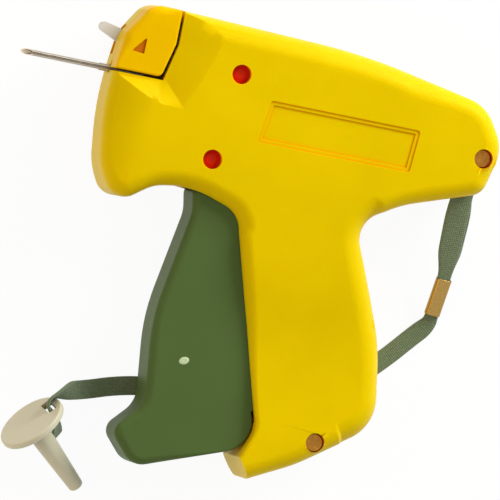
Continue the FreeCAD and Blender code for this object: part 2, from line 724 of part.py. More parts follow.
def trigger():
    """Squeeze lever: a channel closed at the front, hung on the housing's lugs at its foot."""
    corner = size("trigger_corner")
    turn = math.radians(28)
    heel = (pivot.x + corner * math.cos(turn), pivot.y + corner * math.sin(turn), 0)
    foot = (-26.6, -78.2, 7)
    bend = corner_about(pivot, corner, foot, heel)
    outline = [(-25.1, 17.8, 2.5), (1.8, 13.6, 3), (14.6, -49.6, 2), heel, bend, foot]
    outline += [(-36.2, -67.4, 4.5), (-26.6, -57, 10), (-29.8, -28, 70), (-23.4, 8.5, 12)]
    block = new_body("trigger_block")
    pad(block, [rounded(outline)], "-sizes.trigger_half", "2 * sizes.trigger_half")

    def on_side(edge):
        return min(abs(vertex.Z) for vertex in edge.Vertexes) > size("trigger_half") - 0.01

    def radius(point):
        return size("trigger_round") if point.x < -20 else size("small_round")

    body = new_body("trigger", varied_fillet("trigger_rounded", block, on_side, radius))
    inner = inset(outline, size("trigger_wall"))
    rear = 30
    channel = [inner[0], (rear, inner[1][1], 0), (rear, inner[4][1], 0), inner[4][:2] + (0,)] + inner[5:]
    side = "sizes.trigger_half - sizes.trigger_wall"
    cut(body, [rounded(channel)], "sizes.trigger_wall - sizes.trigger_half", "2 * (%s)" % side)
    block_bar = [about_pivot(52, -14), about_pivot(58.5, -14), about_pivot(58.5, 5), about_pivot(52, 5)]
    web = rounded(box(WEB_X - 2, WEB_X, -20, -4))
    bar = rounded([point + (0,) for point in block_bar])
    pad(body, [bar, web], "sizes.trigger_wall - sizes.trigger_half", "2 * (%s)" % side)
    plate = [about_pivot(53, -5), about_pivot(70.8, -5), about_pivot(70.8, 5), about_pivot(53, 5)]
    plate = [rounded([point + (0,) for point in plate])]
    thick = "sizes.carriage_half - sizes.carriage_gap"
    pad(body, plate, "sizes.carriage_gap", thick)
    pad(body, plate, "-sizes.carriage_half", thick)
    slack = size("cross_pin_radius") + size("low_slack")
    groove = [V(*about_pivot(61 + slack, 0), 0), V(*about_pivot(80, 0), 0)]
    cut(body, [hull(groove[0], slack, groove[1], slack)], "-sizes.carriage_half", "2 * sizes.carriage_half")
    boss = [circle(pivot.x, pivot.y, size("trigger_pin_radius") * 2)]
    gap_side = "sizes.lug_half + sizes.gap"
    pad(body, boss, gap_side, side + " - sizes.lug_half - sizes.gap")
    pad(body, boss, "sizes.trigger_wall - sizes.trigger_half", side + " - sizes.lug_half - sizes.gap")
    bore = [circle(pivot.x, pivot.y, size("trigger_pin_radius") + fit)]
    cut(body, bore, "0.9 - sizes.trigger_half", "2 * (sizes.trigger_half - 0.9)")
    return body


def drive_lever():
    """Long lever in a straight line through its pivot, from the trigger's fork to the carriage."""
    body = new_body("drive_lever")
    pad(body, [hull(LOW_PIN, 3.7, HIGH_PIN, 3.2)], "-sizes.lever_half", "2 * sizes.lever_half")
    pad(body, [circle(lever_pivot.x, lever_pivot.y, 5)], "-sizes.lever_half", "2 * sizes.lever_half")
    holes = [circle(lever_pivot.x, lever_pivot.y, size("lever_pin_radius") + fit)]
    holes += [circle(point.x, point.y, size("cross_pin_radius")) for point in (LOW_PIN, HIGH_PIN)]
    cut(body, holes, "-sizes.lever_half", "2 * sizes.lever_half")
    return body


def slide_carriage():
    """Carriage that runs on the rails: a front block for the rod and two cheeks with upright slots."""
    body = new_body("slide_carriage")
    x = HIGH_PIN.x
    low, step, top = RAIL_Y + gap, 52.4, GUIDE_Y - gap
    pad(body, [rounded(box(x - 14, x - 8, low, step))], "-sizes.carriage_half", "2 * sizes.carriage_half")
    cheek = [(x - 8, low, 0), (x - 8, step, 0), (x - 6, step, 0), (x - 6, top, 0), (x + 6, top, 0), (x + 6, low, 0)]
    thick = "sizes.carriage_half - sizes.carriage_gap"
    pad(body, [rounded(cheek)], "sizes.carriage_gap", thick)
    pad(body, [rounded(cheek)], "-sizes.carriage_half", thick)
    pad(body, [rounded(box(x - 6, x + 6, top - 0.7, top))], "-sizes.carriage_gap", "2 * sizes.carriage_gap")
    slack = size("cross_pin_radius") + size("high_slack")
    slot = hull(V(x, 48.2 + slack, 0), slack, V(x, 60.2 - slack, 0), slack)
    cut(body, [slot], "-sizes.carriage_half", "2 * sizes.carriage_half")
    cut(body, [circle(needle_y, 0, size("rod_radius"))], str(x - 14), "6", "YZ_Plane")
    return body


def slide_bumper():
    body = new_body("slide_bumper")
    pad(body, [rounded(box(47, STOP_X, RAIL_Y + gap, 58))], "-6", "12")
    return body


# ---- pins, screws ----


def pin(label, radius, start, end):
    """A plain round pin between two points."""
    feature = doc.addObject("Part::Cylinder", label)
    feature.Label = label
    feature.setExpression("Radius", "sizes." + radius)
    feature.Height = end.sub(start).Length
    feature.Placement = FreeCAD.Placement(start, FreeCAD.Rotation(V(0, 0, 1), end.sub(start)))
    return feature


def cross_pin(label, radius, point, low, high):
    return pin(label, radius, V(point.x, point.y, low), V(point.x, point.y, high))


def primitive(kind, label, place, **numbers):
    feature = doc.addObject("Part::" + kind, label)
    feature.Placement.Base = place
    for name, expression in numbers.items():
        feature.setExpression(name, expression)
    return feature


def joined(label, shapes):
    feature = doc.addObject("Part::MultiFuse", label)
    feature.Label = label
    feature.Shapes = shapes
    doc.recompute()
    return feature


def housing_screws():
    pieces = []
    levels = [half - size("recess_depth")] * 2 + [half - size("rear_recess_depth")] * 2
    for point, level in zip(SCREWS, levels):
        seat = V(point.x, point.y, level)
        low = V(point.x, point.y, level - size("screw_length"))
        pieces.append(primitive("Cylinder", "head", seat, Radius="sizes.head_radius", Height="sizes.head_height"))
        pieces.append(primitive("Cylinder", "shank", low, Radius="sizes.screw_radius", Height="sizes.screw_length"))
    return joined("housing_screws", pieces)


def screw_plugs():
    """Domed red plugs over the two deep screws."""
    pieces = []
    level = half - size("recess_depth") + size("head_height")
    for point in DEEP:
        low = V(point.x, point.y, level)
        high = V(point.x, point.y, level + size("plug_height"))
        radius = "sizes.recess_radius - sizes.fit"
        pieces.append(primitive("Cylinder", "plug", low, Radius=radius, Height="sizes.plug_height"))
        dome = {"Radius1": radius, "Radius2": "sizes.recess_radius / 2", "Height": "sizes.plug_height / 2"}
        pieces.append(primitive("Cone", "dome", high, **dome))
    return joined("screw_plugs", pieces)


# ---- strap and cap ----


def route(points):
    """Straight runs joined by tangent arcs; prints the bends' radii."""
    edges, radii = [], []
    last = points[0]
    for i, here in enumerate(points[1:-1], start=1):
        back, ahead = points[i - 1].sub(here), points[i + 1].sub(here)
        reach = 0.45 * min(back.Length, ahead.Length)
        back.normalize()
        ahead.normalize()
        half_angle = back.getAngle(ahead) / 2
        radius = reach * math.tan(half_angle)
        middle = back.add(ahead).normalize()
        crown = here.add(middle * (radius / math.sin(half_angle) - radius))
        start, end = here.add(back * reach), here.add(ahead * reach)
        edges.append(Part.LineSegment(last, start).toShape())
        edges.append(Part.Arc(start, crown, end).toShape())
        radii.append(round(radius, 1))
        last = end
    edges.append(Part.LineSegment(last, points[-1]).toShape())
    if radii:
        print("bends", radii)
    return Part.Wire(edges)


def ribbon(points, width, thick):
    """A band along a route; one that lies flat keeps level. Prints its volume against section times length."""
    path = route(points)
    along = points[1].sub(points[0]).normalize()
    side = along.cross(V(0, 0, 1)).normalize()
    up = side.cross(along)
    corners = []
    for across, rise in ((1, 1), (1, -1), (-1, -1), (-1, 1), (1, 1)):
        corners.append(points[0].add(side * (across * width / 2)).add(up * (rise * thick / 2)))
    sweep = Part.BRepOffsetAPI.MakePipeShell(path)
    if width > thick:
        sweep.setBiNormalMode(V(0, 0, 1))
    sweep.add(Part.makePolygon(corners))
    sweep.build()
    sweep.makeSolid()
    solid = sweep.shape()
    print("band", round(path.Length, 1), "mm, volume", round(solid.Volume / (width * thick * path.Length), 3))
    return solid


def strap_parts():
    """Wrist strap: up from the cap, through the ferrule, over the anchor bar and back into the ferrule."""
    width, thick = size("strap_width"), size("strap_thick")
    ring = size("anchor_radius") + fit
    layer = ring + thick / 2
    start = V(ANCHOR_X, ANCHOR_Y, 0)
    lead = V(0, -4.2, 0)
    over = start.add(V(0, 0, layer))
    under = start.sub(V(0, 0, layer))
    step = thick / 2 + fit
    top = FERRULE[0].add(V(0, 0, step))
    low = FERRULE[0].sub(V(0, 0, step))
    upper = [over, over.add(lead), V(67.1, 27.2, 0.6), V(67.8, 14.8, -3.6), top]
    lower = [under, under.add(lead), V(68.3, 27.2, -1.6), V(68.7, 14.8, -5.1), low]
    loop = ribbon(LOOP, width, thick).fuse(ribbon(LOOP_END, thick, width))
    strap = part_feature("strap", Part.makeCompound([ribbon(upper, width, thick), loop]))
    outer = Part.makeCylinder(ring + thick, width, V(ANCHOR_X - width / 2, ANCHOR_Y, 0), V(1, 0, 0))
    inner = Part.makeCylinder(ring, width, V(ANCHOR_X - width / 2, ANCHOR_Y, 0), V(1, 0, 0))
    below = Part.makeBox(2 * width, 4 * width, 4 * width, V(ANCHOR_X - width, ANCHOR_Y - 4 * width, -2 * width))
    bow = outer.cut(inner).cut(below)
    tail = part_feature("strap_tail", Part.makeCompound([bow, ribbon(lower, width, thick)]))
    band = ribbon(FERRULE, size("ferrule_width"), size("ferrule_thick"))
    return [strap, tail, part_feature("strap_ferrule", band)]


def needle_cap():
    """Cap that hangs on the strap: a round flange with a slot for the strap, and a tapered tube."""
    body = new_body("needle_cap")
    flange, thick = size("cap_radius"), size("cap_thick")
    length = size("cap_length")
    root, tip = size("cap_root_radius"), size("cap_tip_radius")
    bore = root - size("cap_wall")
    bore_tip = tip - size("cap_wall")
    profile = [(bore, -thick, 0), (flange, -thick, 0.6), (flange, 0, 0.6), (root, 0, 0), (tip, length, 1)]
    profile += [(0, length, 0), (0, length - 1.5, 0), (bore_tip, length - 1.5, 0)]
    feature = body.newObject("PartDesign::Revolution", "Revolution")
    drawing = sketch(body, [rounded(profile)], "0", "XZ_Plane")
    feature.Profile = drawing
    feature.ReferenceAxis = (drawing, ["V_Axis"])
    feature.Angle = 360
    settle(body, feature)
    reach = size("strap_width") / 2 + 0.6
    slot = rounded(box(6.1, 9.2, -reach, reach))
    cut(body, [slot], "-sizes.cap_thick", "sizes.cap_thick")
    upright = CAP_AXIS.cross(CAP_SIDE)
    body.Placement = FreeCAD.Placement(CAP_CENTRE, FreeCAD.Rotation(CAP_SIDE, upright, CAP_AXIS, "ZXY"))
    return body


def mirrored(source, label):
    feature = doc.addObject("Part::Mirroring", label)
    feature.Source = source
    feature.Normal = V(0, 0, 1)
    doc.recompute()
    return feature


def build():
    """All parts in the drawing frame."""
    core = new_body("core", blank_half("half"))
    hollow(core)
    common_inside(core)
    parts = [left_housing(core), right_housing(mirrored(core, "core_mirrored"))]
    parts += [needle_cover(), needle_tube(), needle_base(), cutter_blade(), needle_lock()]
    parts += [rod_guide(), feed_wheel(), feed_pawl(), trigger(), drive_lever(), slide_carriage(), slide_bumper()]
    parts.append(cross_pin("trigger_pivot_pin", "trigger_pin_radius", pivot, -9, 9))
    parts.append(cross_pin("drive_lever_pin", "lever_pin_radius", lever_pivot, -10, 10))
    parts.append(cross_pin("lever_drive_pin", "cross_pin_radius", LOW_PIN, -6.5, 6.5))
    parts.append(cross_pin("lever_slide_pin", "cross_pin_radius", HIGH_PIN, -6, 6))
    parts.append(cross_pin("cover_hinge_pin", "cover_pin_radius", cover_pin, -9.5, 9.3))
    parts.append(cross_pin("needle_lock_pin", "lock_pin_radius", lock_pin, -9.5, -2.4))
    rod = [V(size("rod_front_x"), needle_y, 0), V(HIGH_PIN.x - 8, needle_y, 0)]
    parts.append(pin("push_rod", "rod_radius", *rod))
    parts.append(pin("feed_wheel_axle", "axle_radius", V(-43.7, *WHEEL), V(-31, *WHEEL)))
    parts.append(pin("feed_pawl_pin", "pawl_pin_radius", V(-43.5, *PAWL), V(-31, *PAWL)))
    parts.append(pin("strap_anchor", "anchor_radius", V(58.8, ANCHOR_Y, 0), V(ANCHOR_END, ANCHOR_Y, 0)))
    along_x = FreeCAD.Rotation(V(0, 0, 1), V(1, 0, 0))
    spring_place = FreeCAD.Placement(V(WEB_X, size("spring_y"), 0), along_x)
    sizes_of_spring = [size("spring_radius"), size("spring_wire"), SEAT_X - WEB_X, size("spring_turns")]
    parts.append(coil("trigger_spring", *sizes_of_spring, spring_place))
    parts.append(coil("pawl_spring", 1.25, 0.4, 2.4, 3, FreeCAD.Placement(V(-38.1, *PAWL), along_x)))
    parts += [housing_screws(), screw_plugs(), needle_cap()] + strap_parts()
    return parts


CORDS = ("strap", "strap_tail", "strap_ferrule", "needle_cap")


def place_in_row(parts):
    """Shift everything so that the gun stands on Z = 0 with its box centred, cord pieces left out."""
    solid_box = FreeCAD.BoundBox()
    for item in parts:
        if item.Label not in CORDS:
            solid_box.add(item.Shape.optimalBoundingBox(False, False))
    middle = solid_box.Center
    shift = FreeCAD.Placement(V(-middle.x, -middle.y, half), FreeCAD.Rotation())
    for item in parts:
        item.Placement = shift.multiply(item.Placement)
    return shift


def export(item):
    shape = item.Shape
    if shape.isNull() or not shape.isValid():
        raise RuntimeError(item.Label + " has a bad shape")
    shape.exportStep("parts/%s.step" % item.Label)
    print("%-18s %2d solids %9.1f mm3" % (item.Label, len(shape.Solids), shape.Volume))


parts = build()
shift = place_in_row(parts)
doc.recompute()
for item in doc.Objects:
    if "Invalid" in item.State or "Error" in item.State:
        raise RuntimeError(item.Name + " is invalid")
os.makedirs("parts", exist_ok=True)
for item in parts:
    export(item)
places = {
    "trigger": pivot,
    "lever": lever_pivot,
    "cover": cover_pin,
    "lock": lock_pin,
    "wheel": V(FEED_X, *WHEEL),
    "pawl": V(FEED_X, *PAWL),
    "needle tip": V(size("needle_tip_x"), needle_y, 0),
    "nose front": V(NOSE_X, needle_y, 0),
}
for name, place in places.items():
    print("%-10s at" % name, [round(value / 1000, 6) for value in shift.multVec(place)])
print("slide ratio, m/rad", round(HIGH_PIN.sub(lever_pivot).x / math.radians(size("lever_swing")) / 1000, 6))
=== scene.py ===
import bpy
import json
import math
from mathutils import Matrix, Vector


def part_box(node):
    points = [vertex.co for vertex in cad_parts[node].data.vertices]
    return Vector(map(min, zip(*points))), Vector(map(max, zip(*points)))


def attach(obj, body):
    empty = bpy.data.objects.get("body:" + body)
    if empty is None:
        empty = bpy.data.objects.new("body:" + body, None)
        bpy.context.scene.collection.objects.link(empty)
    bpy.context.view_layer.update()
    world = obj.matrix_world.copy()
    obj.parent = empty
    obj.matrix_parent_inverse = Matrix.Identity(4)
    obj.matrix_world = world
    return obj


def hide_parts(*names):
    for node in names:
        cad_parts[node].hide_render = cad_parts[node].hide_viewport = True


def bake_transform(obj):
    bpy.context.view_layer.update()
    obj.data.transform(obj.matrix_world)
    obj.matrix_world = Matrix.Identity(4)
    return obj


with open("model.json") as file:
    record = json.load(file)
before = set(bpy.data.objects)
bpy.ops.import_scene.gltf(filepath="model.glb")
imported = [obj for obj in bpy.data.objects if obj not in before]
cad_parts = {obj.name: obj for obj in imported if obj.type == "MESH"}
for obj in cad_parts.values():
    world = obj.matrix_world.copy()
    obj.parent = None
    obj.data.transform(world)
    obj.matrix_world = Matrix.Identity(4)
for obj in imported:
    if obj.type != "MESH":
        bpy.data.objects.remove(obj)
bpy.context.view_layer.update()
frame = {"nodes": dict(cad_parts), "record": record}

# the gun is drawn in millimetres about the middle of its barrel
drawingPlace = Vector((7.257, 1.661, 15.0))  # where the drawing's zero sits in the frame


def fromDrawing(point):
    return (Vector(point) + drawingPlace) / 1000


def newObject(name, data):
    body = bpy.data.objects.new(name, data)
    bpy.context.scene.collection.objects.link(body)
    return body


def deselectAll():
    if bpy.context.object and bpy.context.object.mode != "OBJECT":
        bpy.ops.object.mode_set(mode="OBJECT")
    bpy.ops.object.select_all(action="DESELECT")


def makeActive(piece):
    deselectAll()
    piece.select_set(True)
    bpy.context.view_layer.objects.active = piece


def applyModifiers(piece):
    makeActive(piece)
    for modifier in list(piece.modifiers):
        bpy.ops.object.modifier_apply(modifier=modifier.name)


# the camera looks down on the gun, tilted a little towards its nose and rolled
camera = {
    "aim": (0, 0, 0),  # in the drawing
    "tilt": 12.0,
    "roll": 11.3,
    "distance": 2.8,
    "viewWidth": 0.16667,
    "sensor": 36.0,
}


def addCamera(look):
    tilt, roll = math.radians(look["tilt"]), math.radians(look["roll"])
    level = Vector((math.cos(tilt), 0, math.sin(tilt)))
    upright = Vector((0, 1, 0))
    toCamera = level.cross(upright)
    right = level * math.cos(roll) + upright * math.sin(roll)
    up = toCamera.cross(right)
    data = bpy.data.cameras.new("camera")
    data.sensor_width = look["sensor"]
    data.lens = look["sensor"] * look["distance"] / look["viewWidth"]
    body = newObject("camera", data)
    place = fromDrawing(look["aim"]) + toCamera * look["distance"]
    turned = Matrix((right, up, toCamera)).transposed().to_4x4()
    body.matrix_world = Matrix.Translation(place) @ turned
    bpy.context.scene.camera = body


addCamera(camera)
print("camera done")


# plastics, by the record's slot or by their own name where one piece differs from its slot;
# colours are linear, and each plastic's second colour is painted shade, the darker colour painted into its
# hollows and corners
plastics = {
    "yellow_plastic": {
        "colour": (0.74, 0.53, 0.0),
        "deep": (0.85, 0.24, 0.0),
        "sheenTint": (0.6, 1, 0.02),
        "sheen": 0.16,
        "roughness": 0.4,
        "grain": 900,
    },
    "cover_plastic": {
        "colour": (0.8, 0.49, 0.0),
        "deep": (0.85, 0.24, 0.0),
        "sheenTint": (1, 0.75, 0.02),
        "sheen": 0.08,
        "roughness": 0.4,
        "grain": 900,
    },
    "green_plastic": {
        "colour": (0.078, 0.13, 0.036),
        "deep": (0.06, 0.06, 0.02),
        "sheenTint": (0.6, 0.55, 0.3),
        "sheen": 0.1,
        "roughness": 0.45,
        "grain": 700,
    },
    "red_plastic": {
        "colour": (0.6, 0.016, 0.002),
        "deep": (0.3, 0.006, 0.0),
        "sheenTint": (1, 0.35, 0.2),
        "sheen": 0.3,
        "roughness": 0.35,
        "grain": 900,
    },
    "natural_nylon": {
        "colour": (0.6, 0.58, 0.42),
        "deep": (0.4, 0.34, 0.18),
        "sheenTint": (1, 1, 0.95),
        "sheen": 0.4,
        "roughness": 0.4,
        "grain": 500,
    },
    "lockNylon": {
        "colour": (0.62, 0.62, 0.58),
        "deep": (0.45, 0.42, 0.3),
        "sheenTint": (1, 1, 1),
        "sheen": 0.4,
        "roughness": 0.4,
        "grain": 500,
    },
    "inner_plastic": {
        "colour": (0.62, 0.6, 0.52),
        "deep": (0.5, 0.46, 0.36),
        "sheenTint": (1, 1, 1),
        "sheen": 0.5,
        "roughness": 0.5,
        "grain": 600,
    },
    "bumper_rubber": {
        "colour": (0.03, 0.03, 0.03),
        "deep": (0.02, 0.02, 0.02),
        "sheenTint": (1, 1, 1),
        "sheen": 0.3,
        "roughness": 0.7,
        "grain": 800,
    },
    # painted shade: the orange-brown of the inlay in the cover's arrow mark
    "markPaintedShade": {
        "colour": (0.5, 0.13, 0.0),
        "deep": (0.4, 0.1, 0.0),
        "sheenTint": (1, 0.6, 0.2),
        "sheen": 0.3,
        "roughness": 0.5,
        "grain": 900,
    },
    "paleDomeGreen": {
        "colour": (0.5, 0.62, 0.36),
        "deep": (0.3, 0.4, 0.2),
        "sheenTint": (1, 1, 1),
        "sheen": 0.4,
        "roughness": 0.5,
        "grain": 900,
    },
}

# what every moulding has: a slow drift of colour and a fine grain that changes its gloss a little
moulding = {
    "driftScale": 35,
    "drift": 0.04,
    "stops": (0.3, 0.7),
    "grainDetail": 2.0,
    "grainDepth": 0.00001,
    "smoother": 0.05,
    "rougher": 0.07,
}

# painted shade: how much of its surroundings a point sees within this reach, from a corner to an open face,
# sets how far its colour is darkened towards the shade colour
shadePainting = {"reach": 0.009, "closed": 0.4, "open": 0.97, "rays": 12}

# the plastics that light sinks into, and how far each of its colours goes
glows = {
    "natural_nylon": {"weight": 0.25, "depth": 0.002, "reach": (1.0, 0.8, 0.5)},
    "yellow_plastic": {"weight": 0.35, "depth": 0.003, "reach": (1.0, 0.4, 0.03)},
    "cover_plastic": {"weight": 0.35, "depth": 0.003, "reach": (1.0, 0.4, 0.03)},
}

# metals, with the direction that their scratches run square to
metals = {
    "needle_steel": {"colour": (0.5, 0.44, 0.35), "roughness": 0.3, "stretch": (1, 14, 14)},
    "steel": {"colour": (0.6, 0.6, 0.61), "roughness": 0.32, "stretch": (1, 1, 14)},
    "screwZinc": {"colour": (0.42, 0.19, 0.03), "roughness": 0.45, "stretch": (2, 2, 2)},
    "brass": {"colour": (0.42, 0.26, 0.075), "roughness": 0.3, "stretch": (14, 1, 14)},
}

# the scratches on every metal, as shares of its colour and steps of its roughness
scratching = {
    "scale": 420,
    "dark": 0.8,
    "light": 1.12,
    "stops": (0.35, 0.65),
    "smoother": 0.08,
    "rougher": 0.12,
    "bump": 0.06,
    "depth": 0.0001,
}

webbing = {
    "dark": (0.092, 0.13, 0.06),
    "light": (0.2, 0.26, 0.14),
    "picks": 1500,  # weft threads to a metre
    "ends": 12,  # warp threads across
    "fuzzScale": 1500,
    "threadShare": 0.55,  # of the weave against the fuzz
    "contrast": 0.65,
    "stops": (0.2, 0.8),
    "roughness": 0.8,
    "sheen": 0.25,
    "bump": 0.6,
    "depth": 0.0003,
}


def newMaterial(name):
    material = bpy.data.materials.new(name)
    material.use_nodes = True
    return material, material.node_tree.nodes, material.node_tree.links


def addNoise(nodes, links, vector, scale, detail=3.0):
    noise = nodes.new("ShaderNodeTexNoise")
    noise.inputs["Scale"].default_value = scale
    noise.inputs["Detail"].default_value = detail
    links.new(vector, noise.inputs["Vector"])
    return noise.outputs["Fac"]


def addRamp(nodes, links, factor, stops, colours):
    ramp = nodes.new("ShaderNodeValToRGB")
    for element, position, colour in zip(ramp.color_ramp.elements, stops, colours):
        element.position = position
        element.color = (*colour, 1)
    links.new(factor, ramp.inputs["Fac"])
    return ramp.outputs["Color"]


def addRange(nodes, links, factor, low, high):
    mapRange = nodes.new("ShaderNodeMapRange")
    mapRange.inputs["To Min"].default_value = low
    mapRange.inputs["To Max"].default_value = high
    links.new(factor, mapRange.inputs["Value"])
    return mapRange.outputs["Result"]


# a roughness that goes a little below and above its own value
def addGloss(nodes, links, factor, roughness, spread):
    low, high = roughness - spread["smoother"], roughness + spread["rougher"]
    return addRange(nodes, links, factor, low, high)


def addMath(nodes, links, operation, first, second):
    step = nodes.new("ShaderNodeMath")
    step.operation = operation
    for socket, value in zip(step.inputs, (first, second)):
        if isinstance(value, (int, float)):
            socket.default_value = value
        else:
            links.new(value, socket)
    return step.outputs["Value"]


def addBump(nodes, links, height, strength, distance):
    bump = nodes.new("ShaderNodeBump")
    bump.inputs["Strength"].default_value = strength
    bump.inputs["Distance"].default_value = distance
    links.new(height, bump.inputs["Height"])
    links.new(bump.outputs["Normal"], nodes["Principled BSDF"].inputs["Normal"])


def tinted(colour, factor):
    return tuple(min(channel * factor, 1.0) for channel in colour)


# painted shade: the plastic's colour is darkened towards its shade colour in its hollows and corners, where
# it sees little of its surroundings
def addPaintedShade(nodes, links, openColour, deepColour):
    around = nodes.new("ShaderNodeAmbientOcclusion")
    around.samples = shadePainting["rays"]
    around.only_local = True
    around.inputs["Distance"].default_value = shadePainting["reach"]
    share = nodes.new("ShaderNodeMapRange")
    share.inputs["From Min"].default_value = shadePainting["closed"]
    share.inputs["From Max"].default_value = shadePainting["open"]
    links.new(around.outputs["AO"], share.inputs["Value"])
    mix = nodes.new("ShaderNodeMixRGB")
    mix.inputs["Color1"].default_value = (*deepColour, 1)
    links.new(share.outputs["Result"], mix.inputs["Fac"])
    links.new(openColour, mix.inputs["Color2"])
    return mix.outputs["Color"]


def mouldedPlastic(name, look):
    material, nodes, links = newMaterial(name)
    shader = nodes["Principled BSDF"]
    coords = nodes.new("ShaderNodeTexCoord").outputs["Object"]
    drift = addNoise(nodes, links, coords, moulding["driftScale"])
    tones = [tinted(look["colour"], factor) for factor in (1 - moulding["drift"], 1 + moulding["drift"])]
    faceColour = addRamp(nodes, links, drift, moulding["stops"], tones)
    # painted shade goes into the base colour here
    links.new(addPaintedShade(nodes, links, faceColour, look["deep"]), shader.inputs["Base Color"])
    grain = addNoise(nodes, links, coords, look["grain"], moulding["grainDetail"])
    links.new(addGloss(nodes, links, grain, look["roughness"], moulding), shader.inputs["Roughness"])
    shader.inputs["Specular Tint"].default_value = (*look["sheenTint"], 1)
    shader.inputs["Specular IOR Level"].default_value = look["sheen"]
    addBump(nodes, links, grain, 1.0, moulding["grainDepth"])
    return material


# fine scratches drawn out along one axis
def workedMetal(name, look):
    material, nodes, links = newMaterial(name)
    shader = nodes["Principled BSDF"]
    shader.inputs["Metallic"].default_value = 1.0
    mapping = nodes.new("ShaderNodeMapping")
    mapping.inputs["Scale"].default_value = look["stretch"]
    links.new(nodes.new("ShaderNodeTexCoord").outputs["Object"], mapping.inputs["Vector"])
    scratches = addNoise(nodes, links, mapping.outputs["Vector"], scratching["scale"])
    tones = [tinted(look["colour"], factor) for factor in (scratching["dark"], scratching["light"])]
    faceColour = addRamp(nodes, links, scratches, scratching["stops"], tones)
    links.new(faceColour, shader.inputs["Base Color"])
    links.new(addGloss(nodes, links, scratches, look["roughness"], scratching), shader.inputs["Roughness"])
    addBump(nodes, links, scratches, scratching["bump"], scratching["depth"])
    return material


# plain weave on the strap's own map: U runs along it in metres, V across it from 0 to 1
def wovenWebbing(name, look):
    material, nodes, links = newMaterial(name)
    shader = nodes["Principled BSDF"]
    shader.inputs["Roughness"].default_value = look["roughness"]
    shader.inputs["Sheen Weight"].default_value = look["sheen"]
    split = nodes.new("ShaderNodeSeparateXYZ")
    links.new(nodes.new("ShaderNodeUVMap").outputs["UV"], split.inputs["Vector"])
    along = addMath(nodes, links, "MULTIPLY", split.outputs["X"], look["picks"] * math.pi)
    across = addMath(nodes, links, "MULTIPLY", split.outputs["Y"], look["ends"] * math.pi)
    weft = addMath(nodes, links, "SINE", along, 0)
    warp = addMath(nodes, links, "SINE", across, 0)
    weave = addMath(nodes, links, "MULTIPLY", weft, warp)
    height = addMath(nodes, links, "ABSOLUTE", weave, 0)
    coords = nodes.new("ShaderNodeTexCoord").outputs["Object"]
    fuzz = addNoise(nodes, links, coords, look["fuzzScale"])
    threads = addMath(nodes, links, "MULTIPLY", height, look["threadShare"])
    fuzzed = addMath(nodes, links, "ADD", threads, fuzz)
    tone = addMath(nodes, links, "MULTIPLY", fuzzed, look["contrast"])
    faceColour = addRamp(nodes, links, tone, look["stops"], (look["dark"], look["light"]))
    links.new(faceColour, shader.inputs["Base Color"])
    addBump(nodes, links, height, look["bump"], look["depth"])
    return material


def addGlow(material, look):
    shader = material.node_tree.nodes["Principled BSDF"]
    shader.inputs["Subsurface Weight"].default_value = look["weight"]
    shader.inputs["Subsurface Scale"].default_value = look["depth"]
    shader.inputs["Subsurface Radius"].default_value = look["reach"]


finishes = {name: mouldedPlastic(name, look) for name, look in plastics.items()}
finishes.update({name: workedMetal(name, look) for name, look in metals.items()})
finishes["strap_webbing"] = wovenWebbing("strap_webbing", webbing)
for name, look in glows.items():
    addGlow(finishes[name], look)


def paint(piece, slotName, finish=None):
    piece.data.materials.clear()
    piece.data.materials.append(finishes[finish or slotName])


nodeSlot = {part["node"]: part["material_slot"] for part in frame["record"]["subparts"]}
nodeFinish = {"housing_screws": "screwZinc", "needle_lock": "lockNylon"}  # where it isn't the slot's own
for nodeName, node in frame["nodes"].items():
    for materialSlot in node.material_slots:
        materialSlot.material = finishes[nodeFinish.get(nodeName, nodeSlot[nodeName])]
print("materials done")


# in degrees, but for the merge in metres
shading = {
    "merge": 0.000002,
    "flatAngle": 0.2,  # on a CAD copy, edges that turn less are dissolved
    "sharpAngle": 14,  # and those that turn more stay sharp
    "flatWeight": 100,
    "softSteps": 2,  # on a broken edge
    "softAngle": 50,  # on a piece with broken edges, those that turn more stay sharp
}


# flat faces stay flat and rounds are shaded smoothly
def shadeRounds(piece, sharpAngle):
    makeActive(piece)
    bpy.ops.object.shade_smooth_by_angle(angle=math.radians(sharpAngle))
    weighted = piece.modifiers.new("weighted", "WEIGHTED_NORMAL")
    weighted.keep_sharp = True
    weighted.weight = shading["flatWeight"]
    applyModifiers(piece)


# a copy of a CAD node with its triangles merged; one that bends between two bodies is given no body here
def smoothNode(nodeName, pieceName, body=None):
    piece = newObject(pieceName, frame["nodes"][nodeName].data.copy())
    makeActive(piece)
    bpy.ops.object.mode_set(mode="EDIT")
    bpy.ops.mesh.select_all(action="SELECT")
    bpy.ops.mesh.remove_doubles(threshold=shading["merge"])
    bpy.ops.mesh.dissolve_limited(angle_limit=math.radians(shading["flatAngle"]))
    bpy.ops.object.mode_set(mode="OBJECT")
    shadeRounds(piece, shading["sharpAngle"])
    paint(piece, nodeSlot[nodeName], nodeFinish.get(nodeName))
    if body:
        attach(piece, body)
    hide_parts(nodeName)
    return piece


# in edit mode, select the vertices, edges or faces that pass the test and nothing else
def selectWhere(piece, kind, wanted):
    bpy.ops.mesh.select_mode(type=kind)
    bpy.ops.mesh.select_all(action="DESELECT")
    bpy.ops.object.mode_set(mode="OBJECT")
    mesh = piece.data
    for element in {"VERT": mesh.vertices, "EDGE": mesh.edges, "FACE": mesh.polygons}[kind]:
        element.select = wanted(element)
    bpy.ops.object.mode_set(mode="EDIT")


# break the sharp edges and shade what is left smoothly
def softenEdges(piece, width, sharpAngle):
    bevel = piece.modifiers.new("bevel", "BEVEL")
    bevel.width = width
    bevel.segments = shading["softSteps"]
    bevel.limit_method = "ANGLE"
    bevel.angle_limit = math.radians(sharpAngle)
    weighted = piece.modifiers.new("weighted", "WEIGHTED_NORMAL")
    weighted.keep_sharp = True
    makeActive(piece)
    bpy.ops.object.shade_smooth_by_angle(angle=math.radians(shading["softAngle"]))
    applyModifiers(piece)


